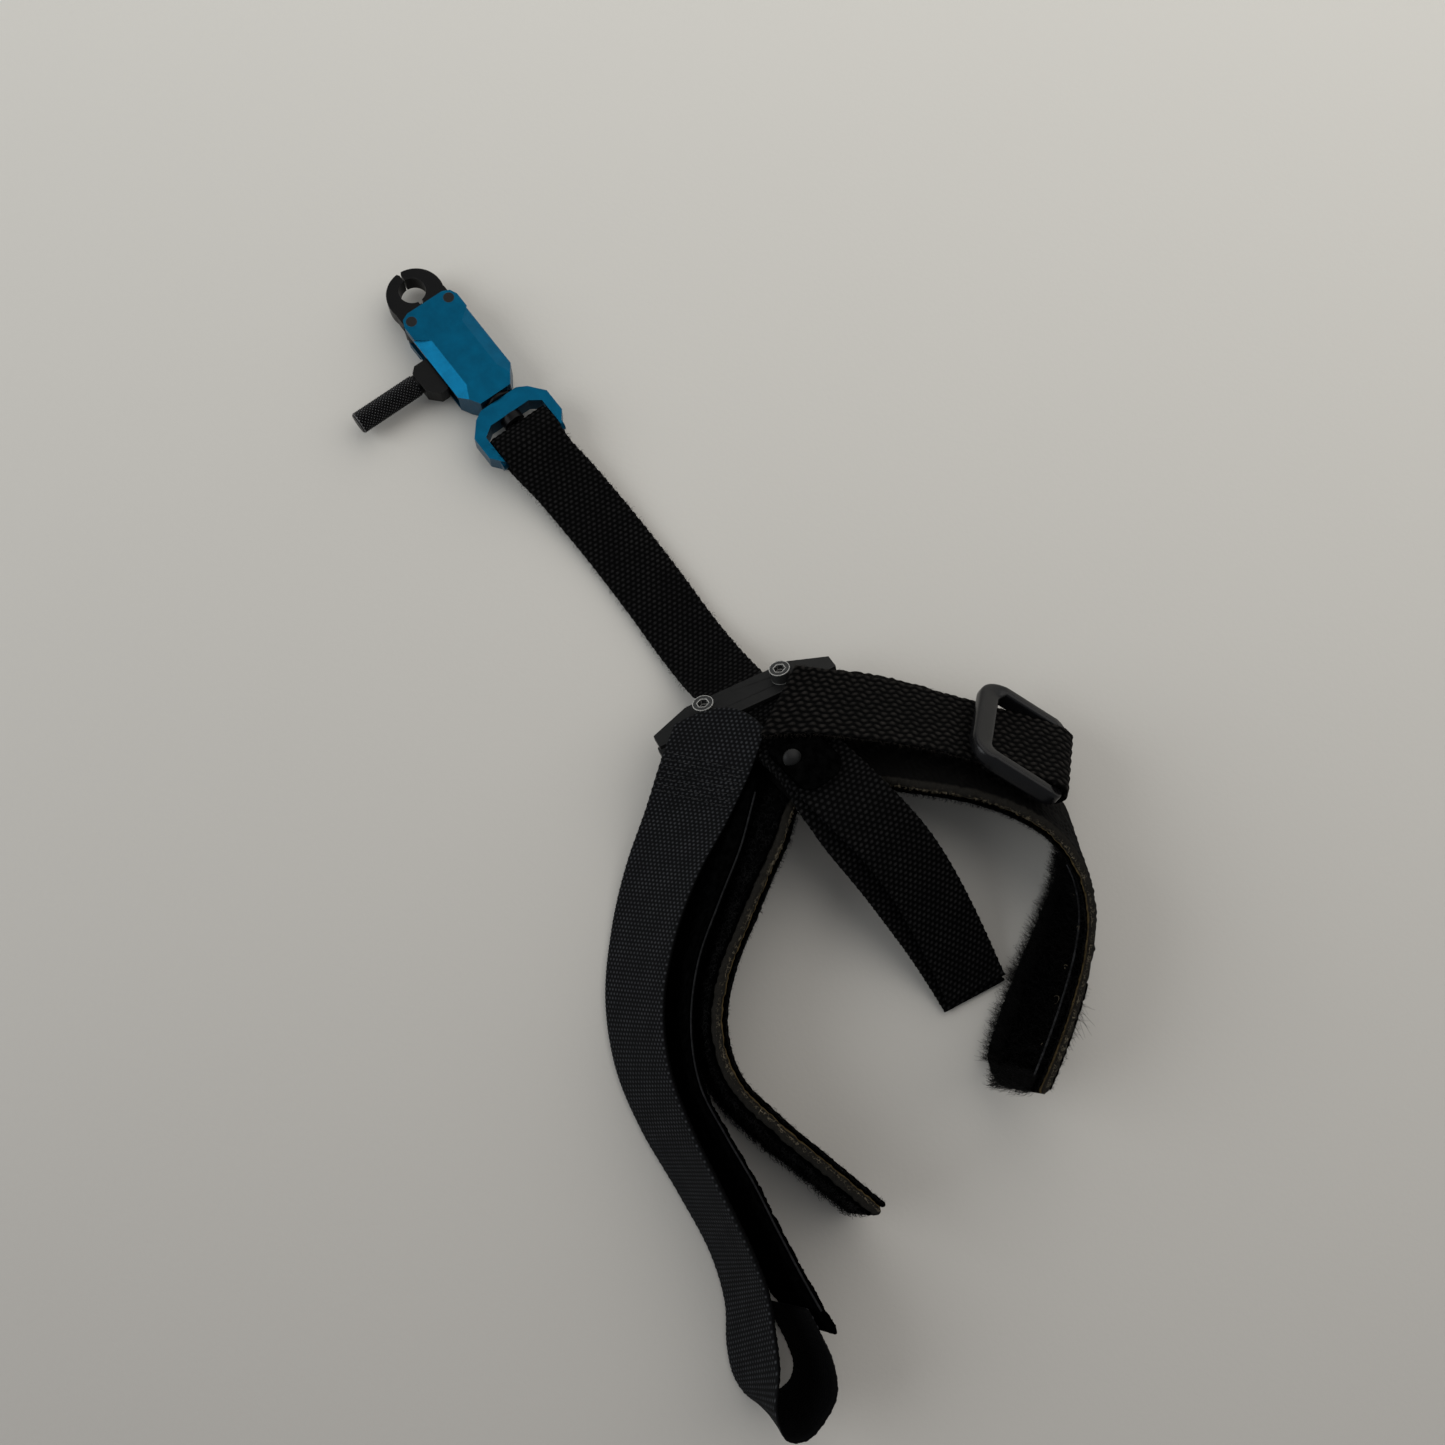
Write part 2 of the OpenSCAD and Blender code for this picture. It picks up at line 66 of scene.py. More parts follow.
def make_camera():
    """A camera in the place of the photo's, 50 degrees wide, looking down about 14 degrees off vertical."""
    data = bpy.data.cameras.new("camera")
    data.lens = data.sensor_width / 2 / math.tan(math.radians(25))
    data.clip_start = 0.01
    camera = bpy.data.objects.new("camera", data)
    camera.matrix_world = look((-0.2249, 0.0836, 0.415), (-0.6118, -0.7897, 0.0454),
                               (0.7746, -0.5865, 0.2365), (0.160, -0.180, -0.971))
    bpy.context.scene.collection.objects.link(camera)
    bpy.context.scene.camera = camera


def area_light(name, place, target, size, power, color):
    """A round lamp that shines from place towards target."""
    data = bpy.data.lights.new(name, "AREA")
    data.shape = "DISK"
    data.size = size
    data.energy = power
    data.color = color
    light = bpy.data.objects.new(name, data)
    light.location = place
    light.rotation_euler = (Vector(target) - Vector(place)).to_track_quat("-Z", "Y").to_euler()
    bpy.context.scene.collection.objects.link(light)


def make_studio():
    """A large warm lamp and a smaller cool one, under an even pale sky."""
    middle = (-0.14, 0, 0)
    area_light("key", (0.05, -0.95, 1.1), middle, 2.6, 18, (1.0, 0.965, 0.92))
    area_light("window", (0.5, 1.0, 0.8), middle, 1.1, 9, (0.93, 0.97, 1.0))
    world = bpy.data.worlds.new("room")
    world.use_nodes = True
    world.node_tree.nodes["Background"].inputs["Color"].default_value = (0.92, 0.95, 1.0, 1)
    world.node_tree.nodes["Background"].inputs["Strength"].default_value = 0.34
    bpy.context.scene.world = world
    bpy.context.scene.view_settings.view_transform = "Standard"


# Materials --------------------------------------------------------------------

def material(name, sockets):
    """A new material with these constants on its Principled shader."""
    made = bpy.data.materials.new(name)
    made.use_nodes = True
    for key, value in sockets.items():
        shader(made).inputs[key].default_value = value
    return made


def shader(made):
    return made.node_tree.nodes["Principled BSDF"]


def node(made, kind, inputs=None, **settings):
    """A new node; an input is a number, a colour or another node's output."""
    new = made.node_tree.nodes.new("ShaderNode" + kind)
    for key, value in settings.items():
        setattr(new, key, value)
    for key, value in (inputs or {}).items():
        if isinstance(value, bpy.types.NodeSocket):
            made.node_tree.links.new(value, new.inputs[key])
        else:
            new.inputs[key].default_value = value
    return new


def plug(made, socket, output):
    made.node_tree.links.new(output, shader(made).inputs[socket])


def ramp(made, value, *stops):
    """A colour ramp over (position, colour) stops; a colour may be a grey level."""
    new = node(made, "ValToRGB", {"Fac": value})
    elements = new.color_ramp.elements
    while len(elements) < len(stops):
        elements.new(0.5)
    for element, (position, color) in zip(elements, stops):
        element.position = position
        element.color = (*color, 1) if hasattr(color, "__len__") else (color, color, color, 1)
    return new.outputs["Color"]


def noise(made, vector, scale, detail=4, rough=0.6):
    new = node(made, "TexNoise", {"Vector": vector, "Scale": scale, "Detail": detail, "Roughness": rough})
    return new.outputs["Fac"]


def mixed(made, a, b, share):
    """Two colours blended: share 0 gives a and share 1 gives b."""
    new = node(made, "Mix", {"Factor": share}, data_type="RGBA")
    for socket, value in ((6, a), (7, b)):
        if isinstance(value, bpy.types.NodeSocket):
            made.node_tree.links.new(value, new.inputs[socket])
        else:
            new.inputs[socket].default_value = (*value, 1)
    return new.outputs[2]


def maths(made, how, a, b=0.0):
    return node(made, "Math", {0: a, 1: b}, operation=how).outputs[0]


def bump(made, height, distance):
    return node(made, "Bump", {"Height": height, "Distance": distance, "Strength": 1.0}).outputs["Normal"]


def solid_coords(made):
    return node(made, "TexCoord").outputs["Object"]


def strap_coords(made):
    """Distance along, distance across and side, which every strap's points carry."""
    return node(made, "Attribute", attribute_name="strap").outputs["Vector"]


def edge_mask(made, radius):
    """White along sharp edges, where a finish wears first."""
    bevel = node(made, "Bevel", {"Radius": radius}, samples=6).outputs["Normal"]
    normal = node(made, "NewGeometry").outputs["Normal"]
    dot = node(made, "VectorMath", {0: bevel, 1: normal}, operation="DOT_PRODUCT").outputs["Value"]
    return ramp(made, dot, (0.80, 1.0), (0.97, 0.0))


def worn_metal(name, color, worn, metallic, roughness, wear=0.7, gloss=0.5, rim=0.35 * MM,
               scuffed=(0.42, 0.62)):
    """A finished metal: faint mottle and fine grain, with the finish thinner along its edges."""
    made = material(name, {"Metallic": metallic, "Specular IOR Level": gloss})
    place = solid_coords(made)
    mottle = ramp(made, noise(made, place, 260, 5), (0.3, 0.0), (0.7, 1.0))
    base = mixed(made, color, [c * 1.35 for c in color], mottle)
    scuffs = ramp(made, noise(made, place, 900, 6), (scuffed[0], 0.0), (scuffed[1], 1.0))
    edges = maths(made, "MULTIPLY", edge_mask(made, rim), scuffs)
    plug(made, "Base Color", mixed(made, base, worn, maths(made, "MULTIPLY", edges, wear)))
    rough = node(made, "MapRange", {0: noise(made, place, 1400, 4), 3: roughness - 0.07, 4: roughness + 0.1})
    plug(made, "Roughness", rough.outputs[0])
    plug(made, "Normal", bump(made, noise(made, place, 5200, 3), 0.02 * MM))
    return made


def crown_height(made):
    """0 in the grooves of a piece's relief and 1 on its crowns."""
    return node(made, "Attribute", attribute_name="crown").outputs["Fac"]


def crowns(made, low, high):
    return ramp(made, crown_height(made), (low, 0.0), (high, 1.0))


def fabric(name, groove, color, worn, yarn, depth, back=None):
    """Woven cloth: painted shade in the grooves, painted light on the crowns, paler worn places, another
    colour behind.
    """
    made = material(name, {"Roughness": 0.7, "Specular IOR Level": 0.04})
    place = strap_coords(made)
    yarns = node(made, "Mapping", {"Vector": place, "Scale": (1 / yarn, 1 / yarn, 0)}).outputs["Vector"]
    threads = noise(made, yarns, 1.6, 4)
    filaments = node(made, "TexWave", {"Vector": yarns, "Scale": 0.5, "Distortion": 2.0, "Detail": 2},
                     bands_direction="Y").outputs["Fac"]
    patches = ramp(made, noise(made, place, 120, 6, 0.7), (0.42, 0.0), (0.72, 1.0))
    fleck = ramp(made, threads, (0.45, 0.0), (0.75, 1.0))
    # Painted shade and light: the groove colour fills the relief's low places and the crown colour its tops.
    relief_painted_shade = mixed(made, groove, color, crowns(made, 0.5, 0.95))
    share = maths(made, "MULTIPLY", maths(made, "ADD", patches, fleck), 0.3)
    share = maths(made, "MULTIPLY", share, crowns(made, 0.45, 0.95))
    tone = mixed(made, relief_painted_shade, worn, share)
    if back:
        side = node(made, "SeparateXYZ", {"Vector": place}).outputs["Z"]
        tone = mixed(made, back, tone, ramp(made, side, (0.3, 0.0), (0.7, 1.0)))
    plug(made, "Base Color", tone)
    plug(made, "Normal", bump(made, maths(made, "ADD", filaments, threads), depth))
    return made


def leather_material():
    """Split leather: dark grained faces, and a paler fibrous cut edge with a yellow-brown core."""
    made = material("leather", {"Roughness": 0.75, "Specular IOR Level": 0.04})
    place = strap_coords(made)
    parts = node(made, "SeparateXYZ", {"Vector": place})
    side = parts.outputs["Z"]
    grain = noise(made, place, 1500, 6)
    blotch = noise(made, place, 190, 6, 0.65)
    speckle = noise(made, place, 900, 6, 0.75)
    face = mixed(made, (0.0007, 0.0007, 0.0007), (0.0030, 0.0028, 0.0025), blotch)
    cut = mixed(made, (0.003, 0.0028, 0.0023), (0.034, 0.031, 0.026),
                ramp(made, speckle, (0.42, 0.0), (0.66, 1.0)))
    core = mixed(made, (0.03, 0.02, 0.008), (0.20, 0.145, 0.065), ramp(made, grain, (0.35, 0.0), (0.65, 1.0)))
    on_edge = ramp(made, maths(made, "ABSOLUTE", side), (0.90, 1.0), (0.995, 0.0))
    ragged = maths(made, "ADD", side, maths(made, "MULTIPLY", maths(made, "SUBTRACT", blotch, 0.5), 0.5))
    inner = ramp(made, ragged, (0.62, 0.0), (0.74, 1.0))
    edge = mixed(made, cut, core, inner)
    plug(made, "Base Color", mixed(made, face, edge, on_edge))
    height = maths(made, "ADD", grain, maths(made, "MULTIPLY", noise(made, place, 420, 5), 1.5))
    plug(made, "Normal", bump(made, height, 0.12 * MM))
    return made


def pile_material(name, color, light):
    """Short dense pile, seen as soft dark speckle."""
    made = material(name, {"Roughness": 0.95, "Specular IOR Level": 0.0})
    place = strap_coords(made)
    tufts = node(made, "TexVoronoi", {"Vector": place, "Scale": 1900}).outputs["Distance"]
    clumps = noise(made, place, 420, 5)
    plug(made, "Base Color", mixed(made, color, light, ramp(made, clumps, (0.4, 0.0), (0.75, 1.0))))
    plug(made, "Normal", bump(made, maths(made, "ADD", tufts, clumps), 0.35 * MM))
    return made


def fibre_material(name, color, light):
    """Loose fibres, speckled between two tones."""
    made = material(name, {"Roughness": 0.6, "Specular IOR Level": 0.1})
    place = solid_coords(made)
    speckle = ramp(made, noise(made, place, 700, 3), (0.4, 0.0), (0.7, 1.0))
    plug(made, "Base Color", mixed(made, color, light, speckle))
    return made


def knurl_material():
    """Blackened knurl: painted highlights make the points of its diamonds bright, and painted shade keeps its
    grooves black.
    """
    made = material("knurled_black_steel", {"Metallic": 0.2, "Roughness": 0.34, "Specular IOR Level": 0.14})
    # Painted light and shade: the crowns are painted as bright highlights and the grooves as black shade.
    plug(made, "Base Color", ramp(made, crown_height(made), (0.5, 0.0002), (0.8, 0.006), (1.0, 0.16)))
    return made


def plastic_material():
    """Moulded black plastic, glossy where it is handled, with fine scratches."""
    made = material("black_plastic", {"Specular IOR Level": 0.2})
    place = solid_coords(made)
    scratch = node(made, "Mapping", {"Vector": place, "Scale": (2600, 260, 900), "Rotation": (0.3, 0.6, 0.8)})
    scratches = noise(made, scratch.outputs["Vector"], 1.0, 3)
    tone = mixed(made, (0.0018, 0.0018, 0.0020), (0.006, 0.006, 0.0065), noise(made, place, 300, 5))
    plug(made, "Base Color", tone)
    rough = node(made, "MapRange", {0: scratches, 3: 0.14, 4: 0.32})
    plug(made, "Roughness", rough.outputs[0])
    plug(made, "Normal", bump(made, noise(made, place, 2400, 3), 0.03 * MM))
    return made


def floor_material():
    """A pale, slightly rough surface with faint clouds, and painted light: it gets lighter towards +X and -Y.
    """
    made = material("pale_surface", {"Roughness": 0.55, "Specular IOR Level": 0.3})
    place = solid_coords(made)
    cloud = noise(made, place, 3.0, 4)
    # Painted light: the colour brightens towards +X and -Y, standing in for the lamps' falloff across the
    # surface.
    ahead = node(made, "VectorMath", {0: place, 1: (1.0, -1.2, 0)}, operation="DOT_PRODUCT").outputs["Value"]
    painted_light = maths(made, "ADD", maths(made, "ADD", ahead, 0.5), maths(made, "MULTIPLY", cloud, 0.06))
    plug(made, "Base Color", ramp(made, painted_light, (0.0, (0.39, 0.37, 0.34)), (1.0, (0.75, 0.73, 0.67))))
    plug(made, "Normal", bump(made, noise(made, place, 700, 3), 0.05 * MM))
    return made


# Mesh helpers -----------------------------------------------------------------

def unit(v):
    return v / np.maximum(np.linalg.norm(v, axis=-1, keepdims=True), 1e-12)


def mesh_object(name, points, faces, made, strap=None, crown=None):
    """A smooth mesh. strap is each point's place along, across and side; crown is its share of the relief."""
    mesh = bpy.data.meshes.new(name)
    mesh.from_pydata(points.reshape(-1, 3).tolist(), [], [list(f) for group in faces for f in group.tolist()])
    mesh.shade_smooth()
    if strap is not None:
        mesh.attributes.new("strap", "FLOAT_VECTOR", "POINT").data.foreach_set("vector", strap.ravel())
    if crown is not None:
        share = (crown - crown.min()) / max(float(np.ptp(crown)), 1e-9)
        mesh.attributes.new("crown", "FLOAT", "POINT").data.foreach_set("value", share.ravel())
    mesh.materials.append(made)
    new = bpy.data.objects.new(name, mesh)
    bpy.context.scene.collection.objects.link(new)
    return new


def skin(name, rings, made, strap=None, crown=None, closed=False):
    """A mesh over rings of points. An open row is capped by joining mirrored points of its end rings."""
    count, size = rings.shape[:2]
    index = np.arange(count * size).reshape(count, size)
    nxt = np.roll(index, -1, axis=1)
    rows = (index, np.roll(index, -1, axis=0)) if closed else (index[:-1], index[1:])
    turned = (nxt, np.roll(nxt, -1, axis=0)) if closed else (nxt[:-1], nxt[1:])
    quads = np.stack([rows[0], turned[0], turned[1], rows[1]], -1).reshape(-1, 4)
    if not closed:
        half = size // 2
        k = np.arange(half - 1)
        pairs = np.stack([k, k + 1, size - 2 - k, size - 1 - k], -1)
        quads = np.concatenate([quads, index[0][pairs][:, ::-1], index[-1][pairs]])
    p = rings.reshape(-1, 3)
    a, b, c, d = (p[quads[:, i]] for i in range(4))
    volume = np.einsum("ij,ij->", a, np.cross(b, c) + np.cross(c, d))
    if volume < 0:
        quads = quads[:, ::-1]
    return mesh_object(name, p, [quads], made, strap, crown)


def tubes(name, paths, radius, made, sides=3):
    """Thin tubes along paths, an array of rows of points; radius may vary along them."""
    count, steps = paths.shape[:2]
    radius = np.broadcast_to(radius, (count, steps))
    tangent = unit(np.gradient(paths, axis=1))
    side = np.zeros_like(paths)
    last = unit(np.cross(tangent[:, 0], (0.31, 0.52, 0.79)))
    for k in range(steps):
        t = tangent[:, k]
        last = unit(last - t * np.sum(last * t, axis=1, keepdims=True))
        side[:, k] = last
    other = np.cross(tangent, side)
    angle = 2 * PI * np.arange(sides) / sides
    ring = side[:, :, None] * np.cos(angle)[:, None] + other[:, :, None] * np.sin(angle)[:, None]
    points = paths[:, :, None] + ring * radius[:, :, None, None]
    index = np.arange(count * steps * sides).reshape(count, steps, sides)
    nxt = np.roll(index, -1, axis=2)
    quads = np.stack([index[:, :-1], nxt[:, :-1], nxt[:, 1:], index[:, 1:]], -1).reshape(-1, 4)
    return mesh_object(name, points, [quads, index[:, 0, ::-1], index[:, -1]], made)


# Straps -----------------------------------------------------------------------

def rail(*points):
    """Points (x, y, height above the surface) in millimetres, as places in metres."""
    return np.array(points, float) * MM + (0, 0, FLOOR)


def curve(points):
    """A centripetal Catmull-Rom curve through the points."""
    p = np.asarray(points, float)
    p = np.concatenate([[2 * p[0] - p[1]], p, [2 * p[-1] - p[-2]]])
    knots = np.concatenate([[0], np.cumsum(np.sqrt(np.linalg.norm(np.diff(p, axis=0), axis=1)))])
    rows = []
    for i in range(1, len(p) - 2):
        k0, k1, k2, k3 = knots[i - 1:i + 3]
        t = np.linspace(k1, k2, 14, endpoint=False)[:, None]
        a1 = (k1 - t) / (k1 - k0) * p[i - 1] + (t - k0) / (k1 - k0) * p[i]
        a2 = (k2 - t) / (k2 - k1) * p[i] + (t - k1) / (k2 - k1) * p[i + 1]
        a3 = (k3 - t) / (k3 - k2) * p[i + 1] + (t - k2) / (k3 - k2) * p[i + 2]
        b1 = (k2 - t) / (k2 - k0) * a1 + (t - k0) / (k2 - k0) * a2
        b2 = (k3 - t) / (k3 - k1) * a2 + (t - k1) / (k3 - k1) * a3
        rows.append((k2 - t) / (k2 - k1) * b1 + (t - k1) / (k2 - k1) * b2)
    return np.concatenate([*rows, [p[-2]]])


class Band:
    """A strap's middle surface between two rails. With a width, the upper rail only gives the way across."""

    def __init__(self, low, high, width=None):
        self.low = curve(low)
        across = curve(high) - self.low
        self.up = unit(across)
        span = np.linalg.norm(across, axis=1)
        self.width = np.full(len(span), width) if width else span
        self.along = unit(np.gradient(self.low, axis=0))
        self.out = unit(np.cross(self.along, self.up))
        middle = self.low + self.up * self.width[:, None] / 2
        self.s = np.concatenate([[0], np.cumsum(np.linalg.norm(np.diff(middle, axis=0), axis=1))])
        self.length = self.s[-1]

    def pick(self, row, s):
        return np.stack([np.interp(s, self.s, row[:, k]) for k in range(3)], -1)

    def at(self, s, across, out):
        """The points s along, a share of the width across, and out of the middle surface."""
        s, across, out = np.broadcast_arrays(s, across, out)
        inside = np.clip(s, 0, self.length)
        wide = np.interp(inside, self.s, self.width)
        point = self.pick(self.low, inside) + unit(self.pick(self.up, inside)) * (wide * across)[..., None]
        point = point + unit(self.pick(self.out, inside)) * out[..., None]
        return point + unit(self.pick(self.along, inside)) * (s - inside)[..., None]

    def nearest(self, x, y):
        """The distance along at which the middle line passes closest to x, y in millimetres."""
        middle = self.low + self.up * self.width[:, None] / 2
        gap = np.hypot(middle[:, 0] - x * MM, middle[:, 1] - y * MM)
        return self.s[np.argmin(gap)]


def ribs(pitch, depth, yarn, share):
    """Relief of webbing: ribs across the strap, crossed by yarns."""
    def relief(s, x, side):
        row = s / pitch + 0.3 * (side < 0)
        rib = np.abs(np.sin(PI * row)) ** 0.75
        crossing = 0.5 + 0.5 * np.cos(2 * PI * x / yarn + PI * np.floor(row))
        slow = np.sin(s * 410 + x * 520) * np.sin(s * 270 - x * 330 + 1)
        return depth * (rib * (1 - share + share * crossing) - 0.6) + 0.008 * MM * slow
    return relief


def cords(pitch, depth, yarn, wave, wave_length):
    """Relief of coarse webbing: wavy cords along the strap, each a row of bumps."""
    def relief(s, x, side):
        across = (x + wave * np.sin(2 * PI * s / wave_length)) / yarn
        cord = np.abs(np.sin(PI * across)) ** 0.7
        bump = 0.5 + 0.5 * np.cos(2 * PI * s / pitch + PI * np.floor(across))
        return depth * (cord * (0.5 + 0.5 * bump) - 0.6)
    return relief


def grain_relief(depth, scale, seed):
    """Relief of leather or felted pile: a sum of waves in mixed directions."""
    draw = np.random.default_rng(seed)
    waves = [(draw.normal(0, scale), draw.normal(0, scale), draw.uniform(0, 2 * PI)) for _ in range(14)]

    def relief(s, x, side):
        total = sum(np.sin(a * s + b * x + c) for a, b, c in waves)
        return depth * total / 4
    return relief


def section(width, thick, columns, corner=4):
    """One turn round a strap's section: share across, out, and the outward direction of each point."""
    r = thick / 2
    angle = (np.arange(corner) + 0.5) / corner * PI / 2
    x = np.concatenate([r - r * np.cos(angle), np.linspace(r, width - r, columns),
                        width - r + r * np.cos(angle[::-1])])
    n = np.concatenate([r * np.sin(angle), np.full(columns, r), r * np.sin(angle[::-1])])
    dx = np.concatenate([-np.cos(angle), np.zeros(columns), np.cos(angle[::-1])])
    dn = np.concatenate([np.sin(angle), np.ones(columns), np.sin(angle[::-1])])
    return [np.concatenate([top, sign * top[::-1]]) for top, sign in ((x, 1), (n, -1), (dx, 1), (dn, -1))]


def no_trim(x):
    return 0 * x


def strap(name, band, made, thick, relief, step, columns, span=None, offset=0.0, start=no_trim, end=no_trim,
          corner=4, reach=30 * MM):
    """A strap of even thickness along a band. start and end give how far its ends are trimmed at x."""
    s0, s1 = span or (0, band.length)
    s = np.linspace(s0, s1, max(8, int((s1 - s0) / step)))[:, None]
    width = float(np.mean(band.width))
    x, n, dx, dn = section(width, thick, columns, corner)
    s = s + start(x) * np.exp(-(s - s0) / reach) - end(x) * np.exp(-(s1 - s) / reach)
    inward = np.minimum(s - s[0], s[-1] - s) / (thick / 2)
    taper = np.sqrt(1 - (1 - np.clip(inward, 0.12, 1)) ** 2)
    side = n / (thick / 2)
    height = relief(s, x + 0 * s, side + 0 * s) * taper
    points = band.at(s, (x + dx * height) / width, offset + n * taper + dn * height)
    coords = np.stack(np.broadcast_arrays(s, x, side), -1)
    return skin(name, points, made, coords.reshape(-1, 3), height)


def stitches(name, rows, radius, made):
    """Short sewn stitches; rows are (start, end, out) points of each stitch."""
    starts, ends, outs = (np.array(part) for part in zip(*rows))
    t = np.linspace(0, 1, 7)[None, :, None]
    rise = np.sin(PI * t) ** 0.6
    paths = starts[:, None] * (1 - t) + ends[:, None] * t + unit(outs)[:, None] * radius * (1.3 * rise - 0.5)
    return tubes(name, paths, radius * (0.55 + 0.45 * rise[..., 0]), made, sides=6)


def curls(name, roots, outs, alongs, made, seed, length, curl, radius, turns):
    """Loose fibres: each leaves its root along out and curls."""
    draw = np.random.default_rng(seed)
    count = len(roots)
    out = unit(outs + draw.normal(0, 0.45, (count, 3)))
    side = unit(np.cross(out, alongs + draw.normal(0, 0.6, (count, 3))))
    lift = np.cross(side, out)
    size = length * draw.uniform(0.4, 1.3, (count, 1))
    bend = curl * draw.uniform(0.5, 1.5, (count, 1))
    t = np.linspace(0, 1, 11)[None]
    angle = 2 * PI * turns * draw.uniform(0.4, 1.3, (count, 1)) * t + 0 * size
    paths = (roots[:, None] + out[:, None] * (size * (t - 0.05))[..., None]
             + side[:, None] * (bend * (1 - np.cos(angle)))[..., None]
             + lift[:, None] * (bend * np.sin(angle))[..., None])
    paths[..., 2] = np.maximum(paths[..., 2], FLOOR + 1.5 * radius)
    return tubes(name, paths, radius * (1.1 - 0.6 * t), made)


def scatter(band, seed, count, span, across, out):
    """Random roots on a band, with the directions out of it and along it there."""
    draw = np.random.default_rng(seed)
    s = draw.uniform(*span, count)
    v = draw.uniform(*across, count)
    return band.at(s, v, out + 0 * s), band.pick(band.up, s), band.pick(band.out, s), band.pick(band.along, s)


def fuzz(name, band, made, seed, count, span, across, out, length, curl, radius, lean=(0, 1, 0),
         turns=0.8, body="cuff"):
    """Loose fibres rooted in a part of a band, leaning by shares of its up, out and along."""
    roots, up, away, along = scatter(band, seed, count, span, across, out)
    piece = curls(name, roots, up * lean[0] + away * lean[1] + along * lean[2], along, made, seed, length,
                  curl, radius, turns)
    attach(piece, body)


WEBBING_WEAVE = ribs(1.3 * MM, 0.34 * MM, 1.75 * MM, share=0.55)


# Rails, as in the CAD model -----------------------------------------------------

CLAMP = (-157.5, 0.0, 15.6)
CLAMP_YAW = math.radians(-12)
RING_BAR = (-0.222, -0.0545, 0.0155)        # middle of the ring's bar, and its hinge
RING_TURN = Matrix.Rotation(math.radians(213.5), 4, "Z") @ Matrix.Rotation(math.radians(-38), 4, "X")
CLAMP_TILT = math.radians(34)


def in_clamp(x, y):
    slope = math.cos(CLAMP_YAW) * (x - CLAMP[0]) + math.sin(CLAMP_YAW) * (y - CLAMP[1])
    return (x, y, CLAMP[2] - math.tan(CLAMP_TILT) * slope)


connector_low = rail((-72, -10.5, 4.6), (-84, -11.3, 3), (-98, -11.7, 2), (-116, -11.4, 1.8),
                     (-129, -10.8, 2), (-138, -10.4, 3.8), (-144.5, -10, 6.6), in_clamp(-149.6, -9.8),
                     in_clamp(-157, -9.5), in_clamp(-163, -9.5))
connector_high = rail((-72, -0.5, 4.6), (-84, -1.3, 3), (-98, -1.7, 2), (-116, -1.4, 1.8), (-129, -0.8, 2),
                      (-138, -0.4, 3.8), (-144.5, 0, 7.1), (-149.6, 0.2, in_clamp(-149.6, 0.2)[2]),
                      in_clamp(-157, 0.5), in_clamp(-163, 0.5))
tail_low = rail(in_clamp(-163, -9.2), in_clamp(-167, -9.4), (-173, -10, 23.4), (-179, -10.6, 26.2),
                (-185, -11.2, 28.2), (-190, -11.8, 29), (-193.4, -12.3, 29.1), (-199, -13, 28.8),
                (-206, -13.8, 26.8), (-215, -14.3, 22.4), (-225, -14.4, 16.6), (-236, -14.2, 10.6),
                (-246, -13.6, 5.4), (-254, -12.6, 2.6), (-258.5, -12, 2.2))
tail_high = rail(in_clamp(-163, 9.2), in_clamp(-167, 9), (-173, 9, 25.6), (-179, 8.4, 27.6), (-185, 8, 29),
                 (-190, 8, 29.6), (-194.4, -2.3, 29.3), (-200, -3, 29), (-207, -3.8, 27),
                 (-216, -4.3, 22.6), (-226, -4.4, 16.8), (-237, -4.2, 10.8), (-247, -3.6, 5.6),
                 (-255, -2.6, 2.8), (-259.5, -2, 2.4))
pad_low = rail((-280, 57, 1), (-265, 61, 1), (-250, 65, 1), (-234, 67, 1), (-221, 63, 1), (-210, 54, 1),
               (-199, 43, 1.4), (-187, 31, 2), (-173, 19, 4), (-160, 8, 6), (-154.6, -3, 6.2),
               (-156.5, -15, 5), (-163, -27, 3), (-173, -37.5, 1.6), (-188, -48.5, 1.2), (-204, -55, 1),
               (-221, -55.6, 1), (-236, -52, 1), (-246, -43, 1), (-252.5, -31, 1), (-258.5, -19, 1),
               (-265.5, -6, 1), (-271.5, 3.5, 1), (-277, 10, 1))
pad_high = rail((-280, 55, 31), (-265, 58.5, 31), (-250, 62, 31), (-234, 64, 31), (-222, 59.5, 31),
                (-212.5, 50, 31), (-206, 39, 31), (-200, 28, 30), (-194.5, 17.5, 28), (-189, 9, 25.6),
                (-187.5, 1, 24.4), (-191, -6, 24.8), (-198, -12.6, 25.4), (-206, -19.8, 27.8),
                (-216, -28.6, 29.6), (-226, -35, 30), (-236, -38.6, 30), (-246.5, -38, 30),
                (-256, -33.6, 30), (-264, -26, 30), (-270.5, -17, 30), (-276, -8, 30), (-280, -0.5, 30),
                (-283, 6, 30))
tongue_low = rail((-151, 19, 21.4), (-156.5, 28, 18.2), (-163.6, 38.6, 10), (-172, 51.5, 3.6),
                  (-182.5, 64, 1.1), (-197, 77, 1), (-213, 85.5, 1), (-229, 89.5, 1), (-248, 91.5, 1),
                  (-265, 94, 1), (-277, 98.5, 1), (-285.5, 104.5, 1), (-292.5, 107.5, 1), (-298.5, 107, 1),
                  (-301.4, 103.6, 1), (-302, 100, 1), (-301.6, 96.5, 1), (-299, 93.5, 1), (-294, 91.8, 1),
                  (-288.5, 90.8, 1), (-283, 90.1, 1))
tongue_high = rail((-167.5, 2.5, 29.2), (-174.6, 12, 26.6), (-182, 23, 23), (-189, 37, 21.5),
                   (-198, 51, 22.5), (-210, 65, 24), (-223, 73.5, 25), (-237, 78, 26), (-254, 82, 26),
                   (-269, 85.5, 25), (-279, 88.5, 24.5), (-287, 92.5, 24), (-294, 97, 24.2),
                   (-301, 103.5, 25.5), (-307, 105, 25), (-310, 101.5, 25), (-309.3, 95.5, 25),
                   (-306.6, 89.9, 24.5), (-300.5, 86.3, 24.2), (-293.5, 84.8, 24), (-287, 83.7, 24))
